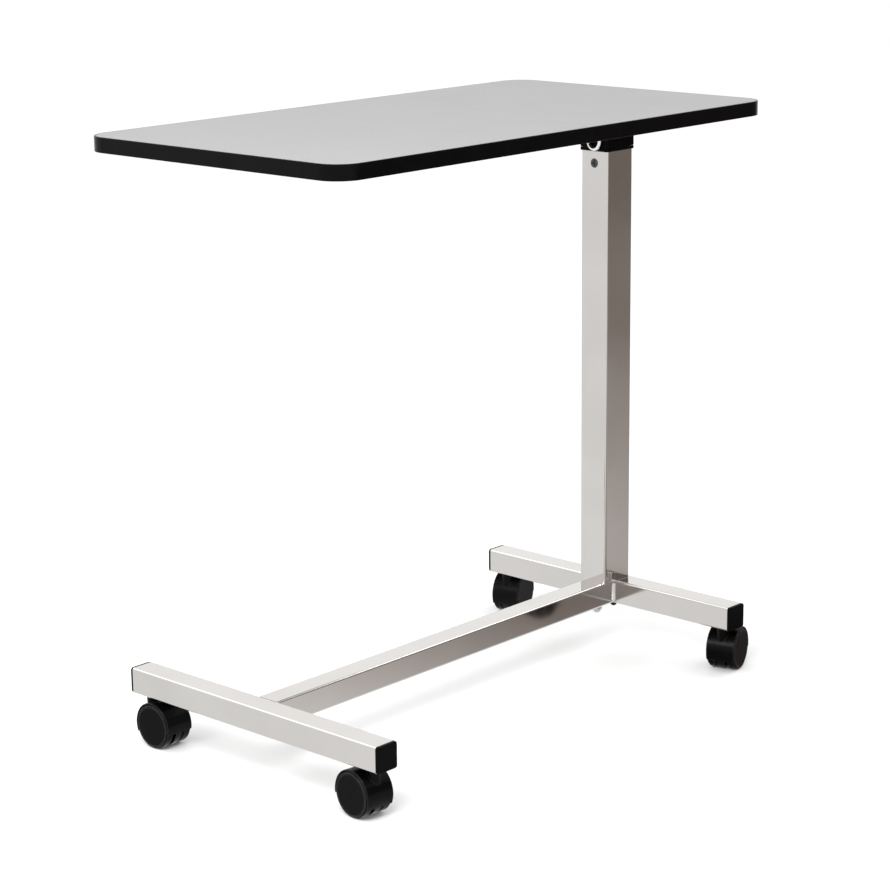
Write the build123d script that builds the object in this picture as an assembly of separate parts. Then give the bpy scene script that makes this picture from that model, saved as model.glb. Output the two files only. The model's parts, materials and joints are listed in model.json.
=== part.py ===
from build123d import *

import os

# Overbed table: a board on a telescopic column at one end of an H-shaped base on four twin-wheel casters.
# Frame: millimetres, +Z up, origin on the floor under the centre of the board. +X runs along the board
# towards the column, and the board's free end points along -X. The column is at its lowest setting.

# ---- board ----
TOP_LENGTH = 762.0
TOP_WIDTH = 412.0
TOP_HEIGHT = 744.5
TOP_THICKNESS = 18.0
TOP_CORNER = 32.0
LAMINATE = 1.0
BACKER = 0.8
MOULDING = 2.5
MOULDING_EDGE = 0.7
TONGUE_DEPTH = 6.0
TONGUE_HEIGHT = 2.0
TONGUE_PLAY = 0.1

# ---- carrier under the board ----
PLATE_START = 195.0
PLATE_END = 365.0
PLATE_HALF_WIDTH = 45.0
PLATE = 3.0
RAIL_START = -230.0
RAIL_END = 355.0
RAIL_LEG = 20.0
RAIL_WALL = 2.0
SCREW_STATIONS = (-205.0, -20.0, 160.0, 330.0)
SCREW_HEAD = 8.0
SCREW_HEAD_HEIGHT = 2.8
SCREW_SHANK = 4.0
SCREW_LENGTH = 14.0

# ---- base ----
TUBE = 32.0
TUBE_WALL = 1.5
TUBE_CORNER = 2.5
BASE_BOTTOM = 61.5
BASE_TOP = BASE_BOTTOM + TUBE
CROSSBAR_LENGTH = 415.0
FRONT_X = -326.0
REAR_X = 332.5
CAP = 3.5
CAP_PLUG = 10.5
CAP_WALL = 2.0
WELD_LEG = 4.5

# ---- column ----
COLUMN_X = 317.5
COLUMN = (52.0, 43.0)
COLUMN_WALL = 1.5
COLUMN_CORNER = 3.0
COLUMN_TOP = 672.5
INNER = (44.0, 35.0)
INNER_CORNER = 2.5
INNER_BOTTOM = 151.5
SLIDE_GAP = 0.3
PRESS_GAP = 0.05
COLLAR = (56.0, 47.0)
COLLAR_CORNER = 4.0
BUSH_FLANGE = 4.0
BUSH_LENGTH = 50.0
STOP_GAP = 0.5
GLIDE_HEIGHT = 40.0
GLIDE_FLOOR = 3.0
BUSH_SCREW_HEIGHT = 657.0
BUSH_SCREW_HEAD = 12.0
BUSH_SCREW_CONE = 2.2
BUSH_SCREW_LENGTH = 3.4
BUSH_SCREW_CROSS = (7.2, 1.8, 1.6)

# ---- fastening of the column on the base ----
PLUG_HEIGHT = 25.0
STUD = 8.0
STUD_X = (301.0, 337.0)
STUD_TOP = 109.5
STUD_BOTTOM = 55.5
WASHER = (16.0, 1.6)
NUT_FLATS = 13.0
NUT_HEIGHT = 5.4
FRONT_DOME = 5.9
REAR_DOME = 4.8
KEY_SIZE = (6.5, 14.0)
KEY_X = 304.0
KEY_Z = 102.5
KEY_HEAD = 4.0
KEY_SHANK = 8.0

# ---- locking gas spring ----
GAS_OUTER = 22.0
GAS_WALL = 1.5
GAS_BOTTOM = 123.5
GAS_TOP = 623.5
GAS_STUD_BOTTOM = 113.5
GUIDE_HEIGHT = 25.0
ROD = 10.0
PISTON_BOTTOM = 151.5
PISTON_HEIGHT = 15.0
PISTON_NECK = 6.0
PISTON_GAP = 0.075
BRIDGE_BOTTOM = 688.5
BRIDGE = 5.0
ROD_TOP = 701.0
PIN = 3.8
PIN_BORE = 4.0
PIN_BORE_DEPTH = 30.0
PIN_LENGTH = 26.8
PIN_TOP = 708.3

# ---- release lever and bail ----
PIVOT_X = 291.0
PIVOT_Z = 711.5
PIVOT_PIN = 4.0
HUB = 8.0
HUB_LENGTH = 26.0
HUB_Y = -3.3
LEVER_END_X = 319.5
LEVER_WIDTH = 10.0
LEVER_THICKNESS = 5.0
EAR_HALF_SPAN = 21.0
EAR_FRONT_X = 286.0
EAR_HEIGHT = 12.0
NOTCH_BOTTOM = 698.5
NOTCH_TOP = 718.5
BAIL_WIRE = 5.0
BAIL_HALF_WIDTH = 9.0
BAIL_X = 286.6
BAIL_BOTTOM = 676.0

# ---- casters, each in a frame with the stem on Z and the wheels trailing along +X ----
CASTER_Y = 186.0
TRAIL = 18.0
WHEEL_RADIUS = 27.6
WHEEL_INNER = 5.2
WHEEL_OUTER = 19.5
WHEEL_RIM = 5.5
WHEEL_TAPER = (3.5, 4.5)
WHEEL_DISC = 3.0
WHEEL_SHOULDER = 1.6
WHEEL_GROOVE_RADIUS = 24.4
WHEEL_GROOVE = 0.8
WHEEL_HUB = 7.0
HOOD_INNER = 27.95
HOOD_OUTER = 29.3
HOOD_HALF_WIDTH = 19.2
HOOD_BEVEL = 0.8
HOOD_STEM_SIDE_DROP = 24.0
HOOD_TRAIL_SIDE_DROP = 10.0
WEB_HALF_WIDTH = 4.3
WEB_CLEARANCE = 3.8
BOSS = 15.5
BOSS_TOP = 60.0
AXLE = 5.0
AXLE_HALF_LENGTH = 18.0
RUNNING_GAP = 0.05
STEM_PIN = 6.0
STEM_PIN_BOTTOM = 38.5
STEM_FLANGE = (16.0, 1.2)
STEM_SHANK = 8.0
STEM_TOP = 85.5
GRIP_RING = 10.9
GRIP_RING_SPAN = (66.5, 81.5)
SOCKET_OUTER = 14.0
SOCKET_BORE = 11.0
SOCKET_TOP = 89.5
CASTERS = {
    "front_left": (FRONT_X, CASTER_Y, -90.5),
    "front_right": (FRONT_X, -CASTER_Y, 84.0),
    "rear_left": (REAR_X, CASTER_Y, 16.0),
    "rear_right": (REAR_X, -CASTER_Y, 16.0),
}

TOP_BOTTOM = TOP_HEIGHT - TOP_THICKNESS
CORE_BOTTOM = TOP_BOTTOM + BACKER
CORE_TOP = TOP_HEIGHT - LAMINATE
PLATE_BOTTOM = TOP_BOTTOM - PLATE
BORE = (COLUMN[0] - 2 * COLUMN_WALL, COLUMN[1] - 2 * COLUMN_WALL)
BORE_CORNER = COLUMN_CORNER - COLUMN_WALL
COLLAR_BOTTOM = COLUMN_TOP + BUSH_FLANGE + STOP_GAP


def block(x, y, z):
    """A box between pairs of limits."""
    size = (x[1] - x[0], y[1] - y[0], z[1] - z[0])
    centre = ((x[0] + x[1]) / 2, (y[0] + y[1]) / 2, (z[0] + z[1]) / 2)
    return Pos(*centre) * Box(*size)


def post(size, corner, bottom, top, x=0.0, y=0.0):
    """An upright rectangular prism with rounded vertical corners."""
    outline = Pos(x, y, bottom) * RectangleRounded(size[0], size[1], corner)
    return extrude(outline, amount=top - bottom)


def rod(radius, bottom, top, x=0.0, y=0.0):
    """An upright cylinder."""
    return Pos(x, y, (bottom + top) / 2) * Cylinder(radius, top - bottom)


def rod_along_y(radius, start, end, x, z):
    """A cylinder lying along Y."""
    return Pos(x, (start + end) / 2, z) * Rot(X=90) * Cylinder(radius, end - start)


def hexagon(flats, bottom, top, x=0.0, y=0.0):
    """An upright hexagonal prism, measured across its flats."""
    outline = Pos(x, y, bottom) * RegularPolygon(flats / 2, 6, major_radius=False)
    return extrude(outline, amount=top - bottom)


def grown(size, amount):
    """A pair of side lengths, each larger by twice the amount."""
    return (size[0] + 2 * amount, size[1] + 2 * amount)


# ---- board ----


def board_slab(inset, bottom, top):
    """The board's outline, moved in by the inset, between two heights."""
    size = grown((TOP_LENGTH, TOP_WIDTH), -inset)
    return post(size, TOP_CORNER - inset, bottom, top)


def screw_places():
    """The wood screws' places in plan: one row in each angle's flat leg."""
    row = PLATE_HALF_WIDTH + 0.6 * RAIL_LEG
    return [(x, side * row) for side in (-1, 1) for x in SCREW_STATIONS]


def screw_bores(radius, bottom, top):
    return [rod(radius, bottom, top, x, y) for x, y in screw_places()]


def groove(depth, height):
    """The ring that the moulding's tongue fills, or its groove in the core."""
    middle = (TOP_BOTTOM + CORE_TOP) / 2
    ring = board_slab(MOULDING, middle - height / 2, middle + height / 2)
    return ring - board_slab(MOULDING + depth, middle - height / 2, middle + height / 2)


def tabletop_core():
    core = board_slab(MOULDING, CORE_BOTTOM, CORE_TOP)
    core -= groove(TONGUE_DEPTH + TONGUE_PLAY, TONGUE_HEIGHT + 2 * TONGUE_PLAY)
    return core - screw_bores(SCREW_SHANK / 2, CORE_BOTTOM, TOP_BOTTOM + SCREW_LENGTH)


def tabletop_laminate():
    return board_slab(MOULDING, CORE_TOP, TOP_HEIGHT)


def tabletop_backer():
    return board_slab(MOULDING, TOP_BOTTOM, CORE_BOTTOM) - screw_bores(
        SCREW_SHANK / 2, TOP_BOTTOM, CORE_BOTTOM
    )


def tabletop_edge_moulding():
    """The strip round the edge, as tall as the board, with a tongue in the core's groove."""
    strip = board_slab(0, TOP_BOTTOM, TOP_HEIGHT)
    lips = strip.faces().sort_by(Axis.Z)
    strip = fillet(lips[0].edges() + lips[-1].edges(), MOULDING_EDGE)
    strip -= board_slab(MOULDING, TOP_BOTTOM, TOP_HEIGHT)
    return strip + groove(TONGUE_DEPTH, TONGUE_HEIGHT)


# ---- carrier under the board ----


def support_plate():
    return block(
        (PLATE_START, PLATE_END),
        (-PLATE_HALF_WIDTH, PLATE_HALF_WIDTH),
        (PLATE_BOTTOM, TOP_BOTTOM),
    )


def support_rail(side):
    """An angle with its flat leg against the board and its upright leg beside the plate."""
    near, far = PLATE_HALF_WIDTH, PLATE_HALF_WIDTH + RAIL_LEG
    span = (RAIL_START, RAIL_END)
    flat = block(span, (near, far), (TOP_BOTTOM - RAIL_WALL, TOP_BOTTOM))
    upright = block(span, (near, near + RAIL_WALL), (TOP_BOTTOM - RAIL_LEG, TOP_BOTTOM))
    rail = flat + upright
    if side < 0:
        rail = mirror(rail, about=Plane.XZ)
    return rail - screw_bores(SCREW_SHANK / 2, TOP_BOTTOM - RAIL_WALL, TOP_BOTTOM)


def top_screws():
    """Pan-head screws, with the head under the angle and the shank up into the core."""
    under = TOP_BOTTOM - RAIL_WALL
    screws = []
    for x, y in screw_places():
        head = rod(SCREW_HEAD / 2, under - SCREW_HEAD_HEIGHT, under, x, y)
        head = fillet(head.faces().sort_by(Axis.Z)[0].edges(), SCREW_HEAD_HEIGHT / 3)
        for recess in ((4.4, 1.0, 3.0), (1.0, 4.4, 3.0)):
            head -= Pos(x, y, under - SCREW_HEAD_HEIGHT) * Box(*recess)
        shank = rod(
            SCREW_SHANK / 2 - RUNNING_GAP,
            under,
            TOP_BOTTOM + SCREW_LENGTH - 1.0,
            x,
            y,
        )
        screws.append(head + shank)
    return screws


# ---- base ----


def square_tube(length):
    """The base's tube, standing on Z and centred on the origin."""
    outer = RectangleRounded(TUBE, TUBE, TUBE_CORNER)
    bore = TUBE - 2 * TUBE_WALL
    outline = outer - RectangleRounded(bore, bore, TUBE_CORNER - TUBE_WALL)
    return Pos(0, 0, -length / 2) * extrude(outline, amount=length)


def spine_span():
    """The spine runs between the crossbars' inner faces."""
    return FRONT_X + TUBE / 2, REAR_X - TUBE / 2


def base_spine():
    start, end = spine_span()
    tube = Rot(Y=90) * square_tube(end - start)
    tube = Pos((start + end) / 2, 0, BASE_BOTTOM + TUBE / 2) * tube
    return tube - rod(STUD / 2 + 0.2, BASE_BOTTOM, BASE_TOP, STUD_X[0])


def crossbar(x):
    """A crossbar with the holes for its two caster sockets. The caps add the rest of its length."""
    tube = Rot(X=90) * square_tube(CROSSBAR_LENGTH - 2 * CAP)
    tube = Pos(x, 0, BASE_BOTTOM + TUBE / 2) * tube
    for y in (-CASTER_Y, CASTER_Y):
        reach = BASE_BOTTOM + TUBE / 2
        tube -= rod(SOCKET_OUTER / 2 + PRESS_GAP, BASE_BOTTOM, reach, x, y)
    return tube


def front_crossbar():
    return crossbar(FRONT_X)


def rear_crossbar():
    return crossbar(REAR_X) - rod(STUD / 2 + 0.2, BASE_BOTTOM, BASE_TOP, STUD_X[1])


def base_welds():
    """Fillet welds in the upright corners between the spine and the crossbars."""
    start, end = spine_span()
    height = TUBE - 2 * TUBE_CORNER
    beads = []
    for x, inward in ((start, 1), (end, -1)):
        for side in (-1, 1):
            corner = (x, side * TUBE / 2)
            along_spine = (x + inward * WELD_LEG, corner[1])
            along_bar = (x, corner[1] + side * WELD_LEG)
            face = make_face(Polyline(corner, along_spine, along_bar, close=True))
            bead = extrude(face, amount=height, dir=(0, 0, 1))
            beads.append(Pos(0, 0, BASE_BOTTOM + TUBE_CORNER) * bead)
    return beads


def end_caps():
    """A flange over each crossbar's end and a hollow plug inside it."""
    caps = []
    plug = TUBE - 2 * TUBE_WALL - 2 * PRESS_GAP
    for x in (FRONT_X, REAR_X):
        for side in (-1, 1):
            flange = extrude(RectangleRounded(TUBE, TUBE, TUBE_CORNER + 1), amount=CAP)
            flange = chamfer(flange.faces().sort_by(Axis.Z)[-1].edges(), 0.5)
            outline = RectangleRounded(plug, plug, TUBE_CORNER - TUBE_WALL)
            outline -= Rectangle(plug - 2 * CAP_WALL, plug - 2 * CAP_WALL)
            cap = flange + extrude(outline, amount=-CAP_PLUG)
            turn = Rot(X=-90 * side)
            place = Pos(
                x, side * (CROSSBAR_LENGTH / 2 - CAP), BASE_BOTTOM + TUBE / 2
            )
            caps.append(place * turn * cap)
    return caps


# ---- column, fixed part ----


def bush_screw_shape(side, gap):
    """A countersunk screw through the tube's wall into the bush, with its head flush with the tube."""
    face = COLUMN_X + side * COLUMN[0] / 2
    shank_radius = BUSH_SCREW_HEAD / 2 - BUSH_SCREW_CONE + gap
    head = Cone(shank_radius, BUSH_SCREW_HEAD / 2 + gap, BUSH_SCREW_CONE)
    screw = Pos(0, 0, -BUSH_SCREW_CONE / 2) * head
    screw += rod(shank_radius, -BUSH_SCREW_LENGTH, -BUSH_SCREW_CONE)
    return Pos(face, 0, BUSH_SCREW_HEIGHT) * Rot(Y=90 * side) * screw


def bush_screws():
    """The screws, with a cross recess in each head."""
    screws = []
    span, width, depth = BUSH_SCREW_CROSS
    for side in (-1, 1):
        face = COLUMN_X + side * COLUMN[0] / 2
        screw = bush_screw_shape(side, 0)
        for size in ((2 * depth, span, width), (2 * depth, width, span)):
            screw -= Pos(face, 0, BUSH_SCREW_HEIGHT) * Box(*size)
        screws.append(screw)
    return screws


def key_shape(side, gap):
    """A key: a flat head on the tube's side and a shank through the wall into the foot plug."""
    wall = side * COLUMN[1] / 2
    head_end = wall + side * KEY_HEAD
    shank_end = wall - side * KEY_SHANK
    head = block(
        (KEY_X - KEY_SIZE[0] / 2, KEY_X + KEY_SIZE[0] / 2),
        tuple(sorted((wall, head_end))),
        (KEY_Z - KEY_SIZE[1] / 2, KEY_Z + KEY_SIZE[1] / 2),
    )
    head = fillet(head.edges().filter_by(Axis.Y), 0.8)
    shank = block(
        (KEY_X - 2 - gap, KEY_X + 2 + gap),
        tuple(sorted((wall, shank_end))),
        (KEY_Z - 5 - gap, KEY_Z + 5 + gap),
    )
    return head, shank


def foot_keys():
    keys = []
    for side in (-1, 1):
        head, shank = key_shape(side, 0)
        keys.append(head + shank)
    return keys


def outer_column():
    tube = post(COLUMN, COLUMN_CORNER, BASE_TOP, COLUMN_TOP, COLUMN_X)
    tube -= post(BORE, BORE_CORNER, BASE_TOP, COLUMN_TOP, COLUMN_X)
    for side in (-1, 1):
        tube -= bush_screw_shape(side, PRESS_GAP)
        tube -= key_shape(side, PRESS_GAP)[1]
    return tube


def guide_bush():
    """A flange on the tube's mouth and a sleeve inside it that the inner tube slides in."""
    bush = post(
        grown(BORE, -PRESS_GAP), BORE_CORNER, COLUMN_TOP - BUSH_LENGTH, COLUMN_TOP, COLUMN_X
    )
    flange = post(
        COLLAR, COLLAR_CORNER, COLUMN_TOP, COLUMN_TOP + BUSH_FLANGE, COLUMN_X
    )
    flange = chamfer(flange.faces().sort_by(Axis.Z)[0].edges(), 0.8)
    bush += flange
    bush -= post(
        grown(INNER, SLIDE_GAP),
        INNER_CORNER + SLIDE_GAP,
        COLUMN_TOP - BUSH_LENGTH,
        COLUMN_TOP + BUSH_FLANGE,
        COLUMN_X,
    )
    for side in (-1, 1):
        bush -= bush_screw_shape(side, PRESS_GAP)
    return bush


def foot_plug():
    """The block in the column's foot, with holes for the studs, the gas spring and the keys."""
    top = BASE_TOP + PLUG_HEIGHT
    plug = post(grown(BORE, -PRESS_GAP), BORE_CORNER, BASE_TOP, top, COLUMN_X)
    for x in STUD_X:
        plug -= rod(STUD / 2, BASE_TOP, STUD_TOP + 1, x)
    plug -= rod(STUD / 2, GAS_STUD_BOTTOM - 1, top, COLUMN_X)
    for side in (-1, 1):
        plug -= key_shape(side, PRESS_GAP)[1]
    return plug


def foot_studs():
    return [rod(STUD / 2 - PRESS_GAP, STUD_BOTTOM, STUD_TOP, x) for x in STUD_X]


def foot_washers():
    washers = []
    for x in STUD_X:
        ring = rod(WASHER[0] / 2, BASE_BOTTOM - WASHER[1], BASE_BOTTOM, x)
        washers.append(ring - rod(STUD / 2, BASE_BOTTOM - WASHER[1], BASE_BOTTOM, x))
    return washers


def dome_nut(x, radius):
    """A cap nut that hangs under the base: a hexagon with a dome below it."""
    top = BASE_BOTTOM - WASHER[1]
    bottom = top - NUT_HEIGHT
    nut = hexagon(NUT_FLATS, bottom, top, x)
    nut &= rod(NUT_FLATS / 2 + 0.6, bottom, top, x)
    dome = Pos(x, 0, bottom) * Sphere(radius)
    dome &= rod(NUT_FLATS / 2, bottom - radius, bottom, x)
    return nut + dome - rod(STUD / 2, STUD_BOTTOM - 0.5, top, x)


def front_foot_nut():
    return dome_nut(STUD_X[0], FRONT_DOME)


def rear_foot_nut():
    return dome_nut(STUD_X[1], REAR_DOME)


# ---- locking gas spring ----


def gas_spring_cylinder():
    """A tube closed at its foot, with a stud that screws into the foot plug."""
    bore = GAS_OUTER / 2 - GAS_WALL
    floor = 4.0
    tube = rod(GAS_OUTER / 2, GAS_BOTTOM, GAS_TOP, COLUMN_X)
    tube = fillet(tube.faces().sort_by(Axis.Z)[0].edges(), 1.5)
    tube -= rod(bore, GAS_BOTTOM + floor, GAS_TOP, COLUMN_X)
    return tube + rod(STUD / 2 - PRESS_GAP, GAS_STUD_BOTTOM, GAS_BOTTOM, COLUMN_X)


def gas_spring_guide():
    """The bush in the cylinder's mouth that the rod runs in."""
    outer = GAS_OUTER / 2 - GAS_WALL - RUNNING_GAP
    ring = rod(outer, GAS_TOP - GUIDE_HEIGHT, GAS_TOP, COLUMN_X)
    bore = ROD / 2 + RUNNING_GAP
    return ring - rod(bore, GAS_TOP - GUIDE_HEIGHT, GAS_TOP, COLUMN_X)


def gas_spring_rod():
    """The rod, with a neck in the piston, a neck through the bridge and the valve pin's bore."""
    shaft = rod(ROD / 2, PISTON_BOTTOM + PISTON_HEIGHT, BRIDGE_BOTTOM, COLUMN_X)
    shaft += rod(PISTON_NECK / 2, PISTON_BOTTOM, PISTON_BOTTOM + PISTON_HEIGHT, COLUMN_X)
    shaft += rod(STUD / 2, BRIDGE_BOTTOM, ROD_TOP, COLUMN_X)
    return shaft - rod(PIN_BORE / 2, ROD_TOP - PIN_BORE_DEPTH, ROD_TOP, COLUMN_X)


def gas_spring_piston():
    top = PISTON_BOTTOM + PISTON_HEIGHT
    outer = GAS_OUTER / 2 - GAS_WALL - PISTON_GAP
    ring = rod(outer, PISTON_BOTTOM, top, COLUMN_X)
    return ring - rod(PISTON_NECK / 2 + RUNNING_GAP, PISTON_BOTTOM, top, COLUMN_X)


def release_pin():
    """The valve pin, with a round top that the lever presses."""
    pin = rod(PIN / 2, PIN_TOP - PIN_LENGTH, PIN_TOP - PIN / 2, COLUMN_X)
    return pin + Pos(COLUMN_X, 0, PIN_TOP - PIN / 2) * Sphere(PIN / 2)


# ---- column, moving part ----


def inner_column():
    """The inner tube, with a slot near its top for the release lever."""
    wall = COLUMN_WALL
    tube = post(INNER, INNER_CORNER, INNER_BOTTOM, PLATE_BOTTOM, COLUMN_X)
    tube -= post(
        grown(INNER, -wall), INNER_CORNER - wall, INNER_BOTTOM, PLATE_BOTTOM, COLUMN_X
    )
    face = COLUMN_X - INNER[0] / 2
    half = LEVER_WIDTH / 2 + 1.5
    return tube - block((face, face + wall), (-half, half), (NOTCH_BOTTOM, NOTCH_TOP))


def lower_glide():
    """A shoe round the inner tube's lower end. The gas spring passes through its floor."""
    bottom = INNER_BOTTOM - GLIDE_FLOOR
    top = bottom + GLIDE_HEIGHT
    shoe = post(grown(BORE, -SLIDE_GAP), BORE_CORNER, bottom, top, COLUMN_X)
    shoe -= post(
        grown(INNER, PRESS_GAP), INNER_CORNER, INNER_BOTTOM, top, COLUMN_X
    )
    return shoe - rod(GAS_OUTER / 2 + 1, bottom, INNER_BOTTOM, COLUMN_X)


def head_collar():
    """The collar under the plate, notched for the lever's hub, with two ears for the pivot pin."""
    collar = post(COLLAR, COLLAR_CORNER, COLLAR_BOTTOM, PLATE_BOTTOM, COLUMN_X)
    collar = chamfer(collar.faces().sort_by(Axis.Z)[0].edges(), 0.8)
    ears = block(
        (EAR_FRONT_X, PIVOT_X + EAR_HEIGHT / 4),
        (-EAR_HALF_SPAN, EAR_HALF_SPAN),
        (PIVOT_Z - EAR_HEIGHT / 2, PIVOT_Z + EAR_HEIGHT / 2),
    )
    ears = fillet(ears.edges().filter_by(Axis.Y).sort_by(Axis.X)[:2], 3)
    collar += ears
    collar -= post(
        grown(INNER, PRESS_GAP), INNER_CORNER, COLLAR_BOTTOM, PLATE_BOTTOM, COLUMN_X
    )
    half = HUB_LENGTH / 2 + 0.5
    face = COLUMN_X - INNER[0] / 2
    collar -= block((EAR_FRONT_X, face), (HUB_Y - half, HUB_Y + half), (NOTCH_BOTTOM, NOTCH_TOP))
    bore = PIVOT_PIN / 2 + RUNNING_GAP
    return collar - rod_along_y(bore, -EAR_HALF_SPAN, EAR_HALF_SPAN, PIVOT_X, PIVOT_Z)


def rod_bridge():
    """The plate across the inner tube that holds the gas spring's rod."""
    size = grown(INNER, -COLUMN_WALL - PRESS_GAP)
    top = BRIDGE_BOTTOM + BRIDGE
    plate = post(size, INNER_CORNER - COLUMN_WALL, BRIDGE_BOTTOM, top, COLUMN_X)
    return plate - rod(STUD / 2 + PRESS_GAP, BRIDGE_BOTTOM, top, COLUMN_X)


def rod_nut():
    bottom = BRIDGE_BOTTOM + BRIDGE
    nut = hexagon(NUT_FLATS, bottom, bottom + NUT_HEIGHT, COLUMN_X)
    return nut - rod(STUD / 2 + PRESS_GAP, bottom, bottom + NUT_HEIGHT, COLUMN_X)


def release_pivot_pin():
    return rod_along_y(
        PIVOT_PIN / 2, -EAR_HALF_SPAN, EAR_HALF_SPAN, PIVOT_X, PIVOT_Z
    )


def along_hub(radius):
    """A cylinder round the pivot, as long as the lever's hub."""
    return rod_along_y(radius, HUB_Y - HUB_LENGTH / 2, HUB_Y + HUB_LENGTH / 2, PIVOT_X, PIVOT_Z)


def release_lever():
    """The hub on the pivot pin and the arm that reaches over the valve pin."""
    arm = block(
        (PIVOT_X, LEVER_END_X),
        (-LEVER_WIDTH / 2, LEVER_WIDTH / 2),
        (PIVOT_Z - LEVER_THICKNESS / 2, PIVOT_Z + LEVER_THICKNESS / 2),
    )
    arm = fillet(arm.edges().filter_by(Axis.Z).sort_by(Axis.X)[-2:], 3)
    bore = PIVOT_PIN / 2 + RUNNING_GAP
    return arm + along_hub(HUB / 2) - along_hub(bore)


def release_bail():
    """Round wire bent to a U, with its arms cranked to the lever's hub."""
    near, far = HUB_Y - BAIL_HALF_WIDTH, HUB_Y + BAIL_HALF_WIDTH
    crank_z = PIVOT_Z - 9
    bend_z = BAIL_BOTTOM + BAIL_HALF_WIDTH
    left = FilletPolyline(
        (PIVOT_X, far, PIVOT_Z),
        (BAIL_X, far, crank_z),
        (BAIL_X, far, bend_z),
        radius=6,
    )
    loop = ThreePointArc(
        (BAIL_X, far, bend_z), (BAIL_X, HUB_Y, BAIL_BOTTOM), (BAIL_X, near, bend_z)
    )
    right = FilletPolyline(
        (BAIL_X, near, bend_z),
        (BAIL_X, near, crank_z),
        (PIVOT_X, near, PIVOT_Z),
        radius=6,
    )
    route = Wire(left.edges() + [loop] + right.edges())
    start = Plane(origin=route @ 0, z_dir=route % 0)
    return sweep(start * Circle(BAIL_WIRE / 2), path=route) - along_hub(HUB / 2)


# ---- casters ----


def about_axle(shape):
    """Moves a shape drawn round Z so that it lies round the axle."""
    return Pos(TRAIL, 0, WHEEL_RADIUS) * Rot(X=90) * shape


def caster_body():
    """The hood over both wheels, the web between them and the boss round the stem."""
    width = 2 * HOOD_HALF_WIDTH
    shell = about_axle(Cylinder(HOOD_OUTER, width))
    shell = chamfer(shell.edges().filter_by(GeomType.CIRCLE), HOOD_BEVEL)
    wheel_space = about_axle(Cylinder(HOOD_INNER, width))
    boss = rod(BOSS / 2, WHEEL_RADIUS, BOSS_TOP)
    boss = chamfer(boss.faces().sort_by(Axis.Z)[-1].edges(), 0.6)
    hood = shell + boss - wheel_space
    reach = 2 * HOOD_OUTER
    drops = ((-1, HOOD_STEM_SIDE_DROP), (1, HOOD_TRAIL_SIDE_DROP))
    for side, drop in drops:
        below = Pos(side * reach / 2, 0, -reach / 2) * Box(reach, width, reach)
        below = Pos(TRAIL, 0, WHEEL_RADIUS) * Rot(Y=side * drop) * below
        hood -= below
    web = about_axle(Cylinder(HOOD_INNER, 2 * WEB_HALF_WIDTH))
    web -= block((TRAIL - reach, TRAIL + reach), (-width, width), (-reach, WEB_CLEARANCE))
    body = hood + web
    body -= rod(STEM_PIN / 2 + RUNNING_GAP, STEM_PIN_BOTTOM - 1, BOSS_TOP)
    return body - about_axle(Cylinder(AXLE / 2, width))


def caster_axle():
    return about_axle(Cylinder(AXLE / 2 - 0.01, 2 * AXLE_HALF_LENGTH))


def wheel_profile():
    """Half of a wheel's section, radius against distance along the axle from the caster's middle."""
    bore = AXLE / 2 + RUNNING_GAP
    inside = WHEEL_RADIUS - WHEEL_RIM
    disc = WHEEL_OUTER - WHEEL_DISC
    groove = WHEEL_GROOVE_RADIUS
    shoulder = WHEEL_SHOULDER
    return [
        (bore, WHEEL_INNER),
        (WHEEL_HUB, WHEEL_INNER),
        (WHEEL_HUB, disc),
        (inside, disc),
        (inside, WHEEL_INNER),
        (WHEEL_RADIUS - WHEEL_TAPER[0], WHEEL_INNER),
        (WHEEL_RADIUS, WHEEL_INNER + WHEEL_TAPER[1]),
        (WHEEL_RADIUS, WHEEL_OUTER - shoulder),
        (WHEEL_RADIUS - shoulder, WHEEL_OUTER),
        (groove + WHEEL_GROOVE, WHEEL_OUTER),
        (groove + WHEEL_GROOVE, WHEEL_OUTER - WHEEL_GROOVE),
        (groove, WHEEL_OUTER - WHEEL_GROOVE),
        (groove - WHEEL_GROOVE, WHEEL_OUTER),
        (0, WHEEL_OUTER),
        (0, AXLE_HALF_LENGTH + 0.3),
        (bore, AXLE_HALF_LENGTH + 0.3),
    ]


def caster_wheel(side):
    """One wheel: tread, disc and hub, open towards the web. Side 1 is towards the caster's +Y."""
    points = [(radius, 0, side * along) for radius, along in wheel_profile()]
    face = make_face(Polyline(*points, close=True))
    wheel = revolve(face, axis=Axis.Z)
    return Pos(TRAIL, 0, WHEEL_RADIUS) * Rot(X=-90) * wheel


def caster_stem():
    """The grip-ring stem: pin in the boss, flange under the crossbar, shank and ring in the socket."""
    flange_bottom = BASE_BOTTOM - STEM_FLANGE[1]
    stem = rod(STEM_PIN / 2, STEM_PIN_BOTTOM, flange_bottom)
    stem += rod(STEM_FLANGE[0] / 2, flange_bottom, BASE_BOTTOM)
    stem += rod(STEM_SHANK / 2, BASE_BOTTOM, STEM_TOP)
    return stem + rod(GRIP_RING / 2, *GRIP_RING_SPAN)


def caster_socket():
    sleeve = rod(SOCKET_OUTER / 2, BASE_BOTTOM, SOCKET_TOP)
    return sleeve - rod(SOCKET_BORE / 2, BASE_BOTTOM, SOCKET_TOP)


def at_caster(name, shape):
    x, y, heading = CASTERS[name]
    return Pos(x, y, 0) * Rot(Z=heading) * shape


def caster_stems():
    return [at_caster(name, caster_stem()) for name in CASTERS]


def caster_sockets():
    return [at_caster(name, caster_socket()) for name in CASTERS]


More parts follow.
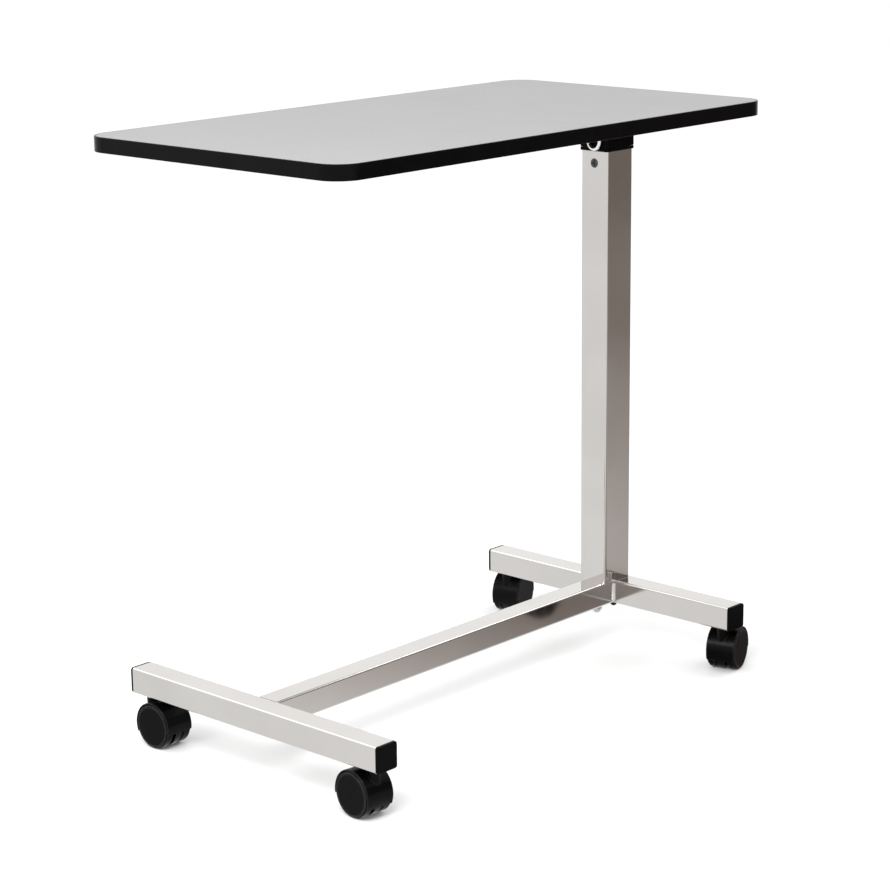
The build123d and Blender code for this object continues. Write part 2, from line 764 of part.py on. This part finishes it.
SINGLE_NODES = [
    tabletop_core,
    tabletop_laminate,
    tabletop_backer,
    tabletop_edge_moulding,
    support_plate,
    top_screws,
    inner_column,
    lower_glide,
    head_collar,
    rod_bridge,
    rod_nut,
    gas_spring_rod,
    gas_spring_piston,
    release_pin,
    release_pivot_pin,
    release_lever,
    release_bail,
    outer_column,
    guide_bush,
    bush_screws,
    gas_spring_cylinder,
    gas_spring_guide,
    foot_plug,
    foot_studs,
    foot_washers,
    front_foot_nut,
    rear_foot_nut,
    foot_keys,
    base_spine,
    front_crossbar,
    rear_crossbar,
    base_welds,
    end_caps,
    caster_sockets,
    caster_stems,
]


def all_nodes():
    """Every node's name with its solid or list of solids."""
    nodes = {make.__name__: make() for make in SINGLE_NODES}
    nodes["support_rail_left"] = support_rail(1)
    nodes["support_rail_right"] = support_rail(-1)
    for name in CASTERS:
        nodes[f"caster_{name}_body"] = at_caster(name, caster_body())
        nodes[f"caster_{name}_axle"] = at_caster(name, caster_axle())
        nodes[f"caster_{name}_wheel_left"] = at_caster(name, caster_wheel(1))
        nodes[f"caster_{name}_wheel_right"] = at_caster(name, caster_wheel(-1))
    return nodes


os.makedirs("parts", exist_ok=True)
for node, made in all_nodes().items():
    shape = Compound(children=made) if isinstance(made, list) else made
    export_step(shape, f"parts/{node}.step")
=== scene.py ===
import json
import math
import random

import bmesh
import bpy
from mathutils import Matrix, Vector


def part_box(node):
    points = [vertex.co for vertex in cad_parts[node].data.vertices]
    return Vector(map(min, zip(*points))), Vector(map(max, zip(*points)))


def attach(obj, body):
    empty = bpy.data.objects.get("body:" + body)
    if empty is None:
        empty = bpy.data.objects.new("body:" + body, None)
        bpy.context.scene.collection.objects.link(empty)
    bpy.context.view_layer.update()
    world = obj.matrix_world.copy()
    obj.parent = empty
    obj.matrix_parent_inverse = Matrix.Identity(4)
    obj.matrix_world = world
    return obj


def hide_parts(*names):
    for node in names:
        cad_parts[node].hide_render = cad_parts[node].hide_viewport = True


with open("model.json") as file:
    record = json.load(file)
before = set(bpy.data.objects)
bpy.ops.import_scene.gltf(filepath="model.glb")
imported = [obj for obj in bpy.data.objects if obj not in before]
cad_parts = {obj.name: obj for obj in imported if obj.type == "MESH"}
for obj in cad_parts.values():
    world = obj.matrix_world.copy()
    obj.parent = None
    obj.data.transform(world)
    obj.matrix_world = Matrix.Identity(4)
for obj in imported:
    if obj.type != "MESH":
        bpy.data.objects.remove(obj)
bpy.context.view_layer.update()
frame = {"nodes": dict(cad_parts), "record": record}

# Looks of the overbed table: materials for the CAD nodes, a few meshed pieces, floor, light and camera.
# Metres, in the row frame: origin on the floor under the board's centre, +X towards the column.

SEED = 7
MM = 0.001
FLOOR_RADIUS = 22.0
CARD_TINT = (1.0, 1.12, 1.19)  # powers that turn a darker card tone slightly warm
nodes = frame["nodes"]


# ---- shader helpers ----


class Shader:
    """A node material with one Principled shader, built by short calls."""

    def __init__(self, name, **sockets):
        self.mat = bpy.data.materials.new(name)
        self.mat.use_nodes = True
        self.tree = self.mat.node_tree
        self.tree.nodes.clear()
        self.bsdf = self.add("ShaderNodeBsdfPrincipled", **sockets)
        out = self.add("ShaderNodeOutputMaterial")
        self.link(self.bsdf.outputs[0], out.inputs["Surface"])
        self.coords = self.add("ShaderNodeTexCoord").outputs["Object"]

    def add(self, kind, settings=None, **sockets):
        node = self.tree.nodes.new(kind)
        for key, value in (settings or {}).items():
            setattr(node, key, value)
        for key, value in sockets.items():
            socket = node.inputs[key.replace("_", " ")]
            if isinstance(value, bpy.types.NodeSocket):
                self.link(value, socket)
            else:
                socket.default_value = value
        return node

    def link(self, source, target):
        self.tree.links.new(source, target)

    def stretched(self, scale):
        node = self.add("ShaderNodeMapping", Vector=self.coords)
        node.inputs["Scale"].default_value = scale
        return node.outputs[0]

    def noise(self, scale, detail=3.0, roughness=0.55, vector=None, distortion=0.0):
        node = self.add(
            "ShaderNodeTexNoise", Vector=vector or self.coords, Scale=scale,
            Detail=detail, Roughness=roughness, Distortion=distortion,
        )
        return node.outputs["Fac"]

    def cells(self, scale, vector=None, feature="F1", randomness=1.0):
        node = self.add(
            "ShaderNodeTexVoronoi", {"feature": feature}, Vector=vector or self.coords,
            Scale=scale, Randomness=randomness,
        )
        return node.outputs["Distance"]

    def remap(self, value, low, high, to_low, to_high):
        node = self.add(
            "ShaderNodeMapRange", Value=value, From_Min=low, From_Max=high,
            To_Min=to_low, To_Max=to_high,
        )
        return node.outputs[0]

    def math(self, operation, a, b=0.0):
        node = self.tree.nodes.new("ShaderNodeMath")
        node.operation = operation
        for socket, value in zip(node.inputs, (a, b)):
            if isinstance(value, bpy.types.NodeSocket):
                self.link(value, socket)
            else:
                socket.default_value = value
        return node.outputs[0]

    def blend(self, factor, first, second, mode="MIX"):
        node = self.add("ShaderNodeMix", {"data_type": "RGBA", "blend_type": mode})
        places = {"Factor": factor, "A": first, "B": second}
        kinds = {"Factor": 0, "A": 6, "B": 7}
        for key, value in places.items():
            socket = node.inputs[kinds[key]]
            if isinstance(value, bpy.types.NodeSocket):
                self.link(value, socket)
            else:
                socket.default_value = (*value, 1.0) if isinstance(value, tuple) else value
        return node.outputs[2]

    def rounded(self, radius):
        """The surface normal with sharp edges eased by this radius."""
        return self.add("ShaderNodeBevel", {"samples": 4}, Radius=radius).outputs[0]

    def edges(self, radius):
        """1 close to a sharp edge, 0 on a flat or gently curved face."""
        eased = self.rounded(radius)
        true = self.add("ShaderNodeNewGeometry").outputs["Normal"]
        dot = self.add("ShaderNodeVectorMath", {"operation": "DOT_PRODUCT"})
        self.link(eased, dot.inputs[0])
        self.link(true, dot.inputs[1])
        return self.remap(dot.outputs["Value"], 0.995, 0.86, 0.0, 1.0)

    def bump(self, heights, normal=None):
        """Stacks (height, strength, distance) bumps over an optional first normal."""
        for height, strength, distance in heights:
            node = self.add("ShaderNodeBump", Strength=strength, Distance=distance, Height=height)
            if normal is not None:
                self.link(normal, node.inputs["Normal"])
            normal = node.outputs[0]
        self.link(normal, self.bsdf.inputs["Normal"])

    def feed(self, socket, value):
        self.link(value, self.bsdf.inputs[socket])


def chrome(name, tone, roughness=0.13, scuffs=0.5):
    """Bright plating over drawn tube: a faint orange peel, soft haze, hairline scuffs and a painted
    highlight along the edges.
    """
    s = Shader(name, Metallic=1.0)
    haze = s.noise(9.0, 5.0)
    clouds = s.noise(38.0, 3.0)
    dark = tuple(0.93 * c for c in tone)
    colour = s.blend(s.remap(haze, 0.35, 0.7, 0.0, 1.0), tone, dark)
    # Edges are painted brighter: a painted highlight along the arrises.
    edge = s.edges(0.8 * MM)
    edge_highlight_tone = tuple(min(1.0, 1.12 * c) for c in tone)
    colour = s.blend(s.math("MULTIPLY", edge, 0.6), colour, edge_highlight_tone)
    s.feed("Base Color", colour)
    lines = s.noise(180.0, 2.0, vector=s.stretched((1.0, 1.0, 0.04)))
    rough = s.remap(clouds, 0.3, 0.75, roughness * 0.8, roughness * 1.35)
    rough = s.math("ADD", rough, s.remap(lines, 0.62, 0.8, 0.0, 0.05 * scuffs))
    s.feed("Roughness", rough)
    peel = s.noise(420.0, 2.0)
    s.bump([(peel, 0.04, 0.05 * MM), (s.noise(60.0, 2.0), 0.04, 0.3 * MM)], s.rounded(0.5 * MM))
    return s.mat


def zinc(name, tone):
    """Zinc-plated steel: cloudy grey with a slight warm and cool drift, fine grain and a painted
    highlight along the edges.
    """
    s = Shader(name, Metallic=1.0)
    warm = (tone[0] * 1.02, tone[1] * 0.97, tone[2] * 0.86)
    cool = (tone[0] * 0.88, tone[1] * 0.93, tone[2] * 1.0)
    colour = s.blend(s.remap(s.noise(160.0, 4.0), 0.35, 0.68, 0.0, 1.0), warm, cool)
    # Edges are painted paler: a painted highlight along the arrises.
    edge = s.edges(0.3 * MM)
    colour = s.blend(s.math("MULTIPLY", edge, 0.7), colour, (0.85, 0.84, 0.82))
    s.feed("Base Color", colour)
    s.feed("Roughness", s.remap(s.noise(900.0, 3.0), 0.3, 0.75, 0.24, 0.46))
    s.bump([(s.noise(2600.0, 2.0), 0.12, 0.03 * MM)], s.rounded(0.25 * MM))
    return s.mat


def moulded(name, tone, roughness, grain, grain_depth, wear_and_highlight=0.25, shine=0.2, arris=0.5):
    """Injection-moulded plastic: fine texture grain, faint flow marks and pale edges, partly rubbed wear
    and partly a painted highlight along the arrises.
    """
    s = Shader(name, IOR=1.48, Specular_IOR_Level=shine)
    flow = s.noise(28.0, 4.0, distortion=0.6)
    pale = tuple(1.6 * c + 0.0006 for c in tone)
    colour = s.blend(s.remap(flow, 0.35, 0.72, 0.0, 0.55), tone, pale)
    # Pale edges: partly rubbed wear, partly a painted highlight along the arrises.
    rubbed_and_highlit_edges = s.math("MULTIPLY", s.edges(arris * MM), s.remap(s.noise(240.0, 3.0), 0.35, 0.65, 0.5, 1.0))
    worn_and_highlight_tone = tuple(3.0 * c + 0.14 for c in tone)
    colour = s.blend(s.math("MULTIPLY", rubbed_and_highlit_edges, wear_and_highlight), colour, worn_and_highlight_tone)
    s.feed("Base Color", colour)
    rough = s.remap(s.noise(75.0, 3.0), 0.3, 0.75, roughness * 0.85, roughness * 1.2)
    s.feed("Roughness", rough)
    s.bump([(s.cells(grain), 0.35, grain_depth), (flow, 0.05, 0.2 * MM)], s.rounded(0.45 * MM))
    return s.mat


def laminate(name):
    """Printed high-pressure laminate: cool grey with a very fine cloudy fleck and a crystal texture."""
    s = Shader(name, IOR=1.47)
    fleck = s.noise(1500.0, 3.0, 0.7)
    mottle = s.noise(170.0, 4.0, 0.66, distortion=0.4)
    drift = s.noise(5.0, 3.0)
    base = (0.226, 0.226, 0.225)
    pale = (0.270, 0.270, 0.268)
    deep = (0.186, 0.187, 0.187)
    colour = s.blend(s.remap(mottle, 0.40, 0.60, 0.0, 1.0), base, pale)
    colour = s.blend(s.remap(fleck, 0.56, 0.72, 0.0, 0.6), colour, deep)
    colour = s.blend(s.remap(drift, 0.3, 0.7, 0.0, 0.06), colour, pale)
    s.feed("Base Color", colour)
    rough = s.remap(s.noise(14.0, 4.0), 0.3, 0.72, 0.40, 0.43)
    rough = s.math("ADD", rough, s.remap(mottle, 0.4, 0.7, -0.03, 0.05))
    s.feed("Roughness", rough)
    s.bump([(s.noise(1150.0, 3.0, 0.6), 0.22, 0.06 * MM), (mottle, 0.06, 0.15 * MM)], s.rounded(0.6 * MM))
    return s.mat


def backer(name):
    """Phenolic balancing sheet under the board: brown-grey paper fibres under thin resin."""
    s = Shader(name, IOR=1.5)
    fibres = s.noise(420.0, 4.0, 0.6, s.stretched((0.25, 1.0, 1.0)), 0.5)
    clouds = s.noise(22.0, 4.0)
    colour = s.blend(s.remap(fibres, 0.35, 0.7, 0.0, 1.0), (0.055, 0.047, 0.040), (0.095, 0.080, 0.066))
    colour = s.blend(s.remap(clouds, 0.3, 0.7, 0.0, 0.35), colour, (0.045, 0.040, 0.036))
    s.feed("Base Color", colour)
    s.feed("Roughness", s.remap(clouds, 0.3, 0.7, 0.42, 0.58))
    s.bump([(fibres, 0.2, 0.08 * MM)])
    return s.mat


def chipboard(name):
    """Particle board: pressed chips in layers, pale and dark."""
    s = Shader(name, IOR=1.4)
    chips = s.add(
        "ShaderNodeTexVoronoi", Vector=s.stretched((1.0, 1.0, 4.0)), Scale=260.0
    )
    tone = s.add("ShaderNodeSeparateColor", Color=chips.outputs["Color"]).outputs[0]
    colour = s.blend(tone, (0.30, 0.20, 0.11), (0.60, 0.45, 0.27))
    s.feed("Base Color", colour)
    s.feed("Roughness", s.remap(tone, 0.0, 1.0, 0.75, 0.95))
    s.bump([(chips.outputs["Distance"], 0.6, 0.4 * MM)])
    return s.mat


def powder_coat(name, tone, sheen_rough=0.38):
    """Black powder coat on steel: fine orange peel, dust and bright scratches at the edges."""
    s = Shader(name, IOR=1.5, Specular_IOR_Level=0.12)
    peel = s.noise(700.0, 2.0, 0.5)
    dust = s.noise(45.0, 5.0, 0.65)
    pale = tuple(1.8 * c + 0.003 for c in tone)
    colour = s.blend(s.remap(dust, 0.42, 0.72, 0.0, 0.5), tone, pale)
    chips = s.math("MULTIPLY", s.edges(0.5 * MM), s.remap(s.noise(330.0, 4.0), 0.5, 0.62, 0.0, 1.0))
    colour = s.blend(s.math("MULTIPLY", chips, 0.7), colour, (0.32, 0.31, 0.30))
    s.feed("Base Color", colour)
    s.feed("Metallic", s.math("MULTIPLY", chips, 0.8))
    s.feed("Roughness", s.remap(dust, 0.3, 0.75, sheen_rough * 0.85, sheen_rough * 1.25))
    s.bump([(peel, 0.25, 0.12 * MM)], s.rounded(0.4 * MM))
    return s.mat


MATERIALS = {
    "particle_board": chipboard("look_chipboard"),
    "grey_laminate": laminate("look_laminate"),
    "backer_sheet": backer("look_backer"),
    "edge_moulding": moulded(
        "look_edge_vinyl", (0.0010, 0.0010, 0.0011), 0.22, 2400.0, 0.02 * MM, wear_and_highlight=0.02, shine=0.08
    ),
    "black_paint": powder_coat("look_powder_coat", (0.0022, 0.0022, 0.0024)),
    "zinc_steel": zinc("look_zinc", (0.62, 0.61, 0.59)),
    "chromed_steel": chrome("look_chrome", (0.625, 0.605, 0.585), 0.10),
    "chromed_wire": chrome("look_chrome_wire", (0.86, 0.86, 0.85), 0.18, 0.2),
    "black_plastic": moulded(
        "look_black_plastic", (0.0009, 0.0009, 0.0010), 0.30, 1500.0, 0.04 * MM, wear_and_highlight=0.05, shine=0.04
    ),
    "bright_nut": chrome("look_bright_nut", (0.50, 0.49, 0.47), 0.16, 0.2),
    "black_nut": powder_coat("look_black_nut", (0.006, 0.006, 0.0063), 0.3),
    # On the caster hoods and wheels the strong pale edges are mostly a painted highlight ring on the
    # arrises, with some wear.
    "caster_plastic": moulded(
        "look_caster_nylon", (0.0010, 0.0010, 0.0012), 0.24, 1900.0, 0.02 * MM,
        wear_and_highlight=0.30, shine=0.085, arris=0.9,
    ),
    "wheel_plastic": moulded(
        "look_wheel_nylon", (0.0012, 0.0012, 0.0014), 0.30, 1700.0, 0.04 * MM,
        wear_and_highlight=0.60, shine=0.045, arris=1.0,
    ),
}

# The bush screws are blackened steel with a dull glint; the cap nut in the same slot is plain black.
OWN_LOOK = {"bush_screws": chrome("look_dark_screw", (0.085, 0.085, 0.090), 0.22, 0.4)}

SLOT_OF = {row["node"]: row["material_slot"] for row in frame["record"]["subparts"]}
for name, obj in nodes.items():
    obj.data.materials.clear()
    obj.data.materials.append(OWN_LOOK.get(name, MATERIALS[SLOT_OF[name]]))


# ---- meshed pieces ----


def made(name, shape, body, slot, *replaced):
    """Turns a bmesh into a piece that rides on a body and stands for the CAD nodes named."""
    bmesh.ops.recalc_face_normals(shape, faces=shape.faces)
    mesh = bpy.data.meshes.new(name)
    shape.to_mesh(mesh)
    shape.free()
    mesh.polygons.foreach_set("use_smooth", [True] * len(mesh.polygons))
    piece = bpy.data.objects.new(name, mesh)
    bpy.context.scene.collection.objects.link(piece)
    mesh.materials.append(MATERIALS[slot])
    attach(piece, body)
    if replaced:
        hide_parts(*replaced)
    return piece


def weld_beads():
    """Rippled fillet beads, plated over, in the upright corners between the spine and the crossbars."""
    low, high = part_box("base_spine")
    weld_low, weld_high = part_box("base_welds")
    leg = weld_high[1] - high[1]
    rows, columns = 72, 10
    ripples = 17
    droop = 0.35 * MM
    shape = bmesh.new()
    draw = random.Random(SEED)
    for x, inward in ((low[0], 1), (high[0], -1)):
        for side in (-1, 1):
            phase = draw.uniform(0.0, math.tau)
            ring = []
            for row in range(rows + 1):
                t = row / rows
                z = weld_low[2] + t * (weld_high[2] - weld_low[2])
                beat = abs(math.sin(math.pi * ripples * t + phase + 0.5 * math.sin(9 * t)))
                end = min(1.0, 10 * min(t, 1 - t)) ** 0.5
                reach = leg * (0.74 + 0.14 * beat) * (0.35 + 0.65 * end)
                line = [shape.verts.new((x, side * high[1], z))]
                for column in range(columns + 1):
                    angle = math.pi / 2 * column / columns
                    swell = 1 - 0.16 * math.sin(2 * angle)
                    lag = droop * math.sin(2 * angle) * end
                    line.append(
                        shape.verts.new(
                            (
                                x + inward * reach * swell * math.cos(angle),
                                side * (high[1] + reach * swell * math.sin(angle)),
                                z - lag,
                            )
                        )
                    )
                ring.append(line)
            for below, above in zip(ring, ring[1:]):
                count = len(below)
                for i in range(count):
                    j = (i + 1) % count
                    shape.faces.new((below[i], below[j], above[j], above[i]))
            shape.faces.new(ring[0])
            shape.faces.new(ring[-1])
    return made("weld_beads", shape, "base", "chromed_steel", "base_welds")


weld_beads()


# ---- stage, light and camera ----


def stage_floor():
    mesh = bpy.data.meshes.new("studio_floor")
    shape = bmesh.new()
    bmesh.ops.create_circle(shape, cap_ends=True, segments=96, radius=FLOOR_RADIUS)
    shape.to_mesh(mesh)
    shape.free()
    floor = bpy.data.objects.new("studio_floor", mesh)
    bpy.context.scene.collection.objects.link(floor)
    s = Shader("look_floor", Roughness=0.9, Specular_IOR_Level=0.0)
    drift = s.remap(s.noise(0.6, 3.0), 0.3, 0.7, 0.0, 1.0)
    s.feed("Base Color", s.blend(drift, (0.86, 0.86, 0.86), (0.845, 0.845, 0.845)))
    mesh.materials.append(s.mat)


def reflector(name, corners, start, reach, stops):
    """A flat or upright card that only reflections see; its tone runs through the stops along +X."""
    mesh = bpy.data.meshes.new(name)
    mesh.from_pydata([Vector(c) for c in corners], [], [(0, 1, 2, 3)])
    card = bpy.data.objects.new(name, mesh)
    bpy.context.scene.collection.objects.link(card)
    mat = bpy.data.materials.new("look_" + name)
    mat.use_nodes = True
    tree = mat.node_tree
    tree.nodes.clear()
    place = tree.nodes.new("ShaderNodeTexCoord")
    split = tree.nodes.new("ShaderNodeSeparateXYZ")
    tree.links.new(place.outputs["Object"], split.inputs[0])
    along = tree.nodes.new("ShaderNodeMapRange")
    along.inputs["From Min"].default_value = start
    along.inputs["From Max"].default_value = start + reach
    tree.links.new(split.outputs["X"], along.inputs["Value"])
    ramp = tree.nodes.new("ShaderNodeValToRGB")
    marks = ramp.color_ramp.elements
    while len(marks) < len(stops):
        marks.new(0.5)
    for mark, (x, tone) in zip(marks, stops):
        mark.position = (x - start) / reach
        mark.color = (*(tone ** power for power in CARD_TINT), 1.0)
    tree.links.new(along.outputs[0], ramp.inputs[0])
    glow = tree.nodes.new("ShaderNodeEmission")
    tree.links.new(ramp.outputs[0], glow.inputs["Color"])
    out = tree.nodes.new("ShaderNodeOutputMaterial")
    tree.links.new(glow.outputs[0], out.inputs["Surface"])
    mesh.materials.append(mat)
    card.visible_camera = False
    card.visible_diffuse = False
    card.visible_shadow = False
    card.visible_transmission = False


def softbox(name, place, target, size, power):
    data = bpy.data.lights.new(name, "AREA")
    data.shape = "RECTANGLE"
    data.size, data.size_y = size
    data.energy = power
    light = bpy.data.objects.new(name, data)
    light.location = place
    light.rotation_euler = (Vector(target) - Vector(place)).to_track_quat("-Z", "Y").to_euler()
    bpy.context.scene.collection.objects.link(light)
    return light


def white_world(strength):
    world = bpy.data.worlds.new("studio_world")
    bpy.context.scene.world = world
    world.use_nodes = True
    back = world.node_tree.nodes["Background"]
    back.inputs["Color"].default_value = (1.0, 1.0, 1.0, 1.0)
    back.inputs["Strength"].default_value = strength


def place_camera(place, azimuth, elevation, roll, lens):
    a, e, r = (math.radians(v) for v in (azimuth, elevation, roll))
    back = Vector((math.sin(a) * math.cos(e), -math.cos(a) * math.cos(e), math.sin(e)))
    right = (-back).cross(Vector((0, 0, 1))).normalized()
    up = right.cross(-back)
    x_axis = right * math.cos(r) + up * math.sin(r)
    y_axis = up * math.cos(r) - right * math.sin(r)
    matrix = Matrix((x_axis, y_axis, back)).transposed().to_4x4()
    matrix.translation = Vector(place)
    data = bpy.data.cameras.new("camera")
    data.lens = lens
    data.sensor_width = 36.0
    data.clip_end = 100.0
    camera = bpy.data.objects.new("camera", data)
    camera.matrix_world = matrix
    bpy.context.scene.collection.objects.link(camera)
    bpy.context.scene.camera = camera


stage_floor()
reflector(
    "pale_card",
    ((-8.0, -8.0, 0.0010), (8.0, -8.0, 0.0010), (8.0, 8.0, 0.0010), (-8.0, 8.0, 0.0010)),
    -8.0,
    16.0,
    ((-8.0, 1.02), (8.0, 1.02)),
)
reflector(
    "dark_card",
    ((-0.30, -0.12, 0.002), (5.0, -0.12, 0.002), (5.0, -4.0, 0.002), (-0.30, -4.0, 0.002)),
    -0.3,
    3.0,
    (
        (-0.15, 0.86), (0.02, 0.62), (0.20, 0.42), (0.36, 0.27), (0.48, 0.24),
        (0.60, 0.58), (0.80, 0.58), (1.10, 0.48), (1.50, 0.41), (2.00, 0.28),
    ),
)
reflector(
    "back_card",
    ((0.37, 0.14, 0.002), (5.0, 0.14, 0.002), (5.0, 4.0, 0.002), (0.37, 4.0, 0.002)),
    0.3,
    3.0,
    ((0.40, 0.66), (0.90, 0.48), (1.60, 0.36), (2.60, 0.32)),
)
reflector(
    "dark_flat",
    ((1.2, -4.2, 0.0), (4.8, -0.6, 0.0), (4.8, -0.6, 2.2), (1.2, -4.2, 2.2)),
    1.2,
    3.6,
    ((1.2, 0.22), (4.8, 0.22)),
)
softbox("key_light", (-0.75, 2.0, 2.2), (0.0, 0.0, 0.4), (1.6, 1.2), 10.0)
softbox("left_light", (-2.3, 0.06, 1.47), (0.33, -0.19, 0.04), (0.9, 0.7), 14.0)
softbox("side_light", (2.2, -0.75, 2.0), (0.0, 0.0, 0.4), (0.9, 0.8), 7.0)
softbox("fill_light", (-1.2, -0.65, 1.35), (-0.25, 0.0, 0.7), (0.7, 0.5), 15.0)
white_world(1.2)
place_camera((-2.2261, -2.0360, 1.1047), -47.57, 14.23, -0.60, 102.02)
bpy.context.scene.view_settings.view_transform = "Standard"
